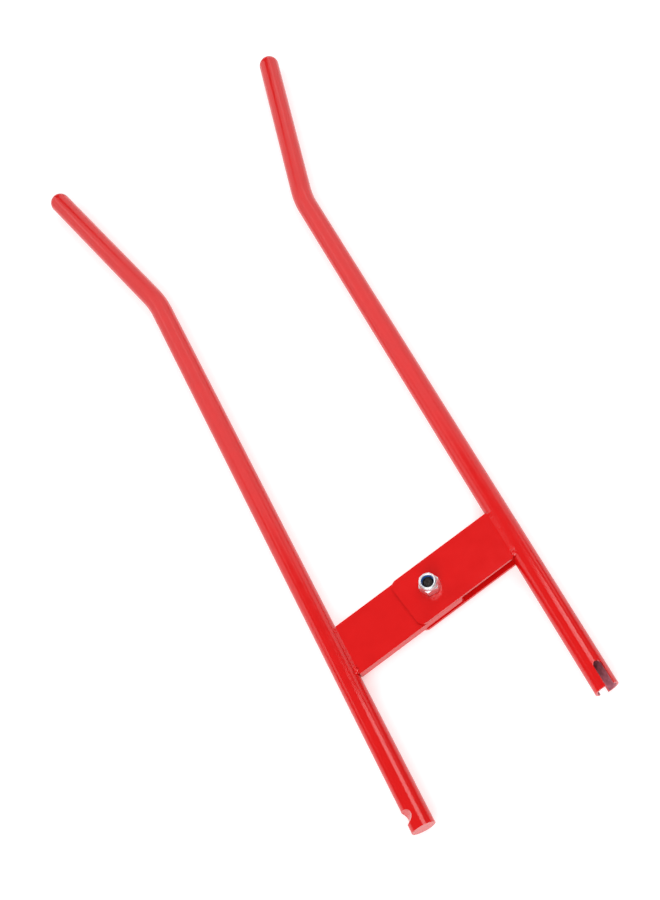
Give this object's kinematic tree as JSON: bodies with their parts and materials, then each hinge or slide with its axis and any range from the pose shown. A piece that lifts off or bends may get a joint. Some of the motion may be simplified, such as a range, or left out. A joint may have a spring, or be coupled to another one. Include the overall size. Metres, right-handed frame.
{
  "type": "two-lever spreading clamp",
  "caption": "Hand clamp of two bent red tube levers, joined by link plates that pivot on a bolt; one jaw is slotted and the other has a hooked notch.",
  "frame": {"origin": "middle of the bounding box in X and Y, on the plane that the tool lies on, at the underside of the bolt's head", "axes": "+Z along the bolt towards the nut, +Y from the jaws to the handles, +X from the left lever to the right one"},
  "size_m": [0.306, 0.849, 0.0381],
  "materials": {
    "red_powder_coat": "gloss powder coat",
    "black_steel": "black oxide",
    "zinc_plated_steel": "bright zinc plate",
    "blue_nylon": "moulded"
  },
  "bodies": {
    "right_arm": {"right_lever_tube": "red_powder_coat", "right_handle_cap": "red_powder_coat", "upper_link_plate": "red_powder_coat", "lower_link_plate": "red_powder_coat", "upper_plate_weld": "red_powder_coat", "lower_plate_weld": "red_powder_coat", "pivot_bolt": "black_steel", "lock_nut": "zinc_plated_steel", "nylon_insert": "blue_nylon"},
    "left_arm": {"left_lever_tube": "red_powder_coat", "left_jaw_slug": "red_powder_coat", "left_handle_cap": "red_powder_coat", "centre_link_plate": "red_powder_coat", "centre_weld_upper": "red_powder_coat", "centre_weld_lower": "red_powder_coat"}
  },
  "joints": [
    {"name": "arm_pivot", "type": "hinge", "parent": "right_arm", "child": "left_arm", "pos_m": [0.0084, -0.24399, 0.015], "axis": [0, 0, 1], "range_deg": [-20.5, 54]}
  ]
}
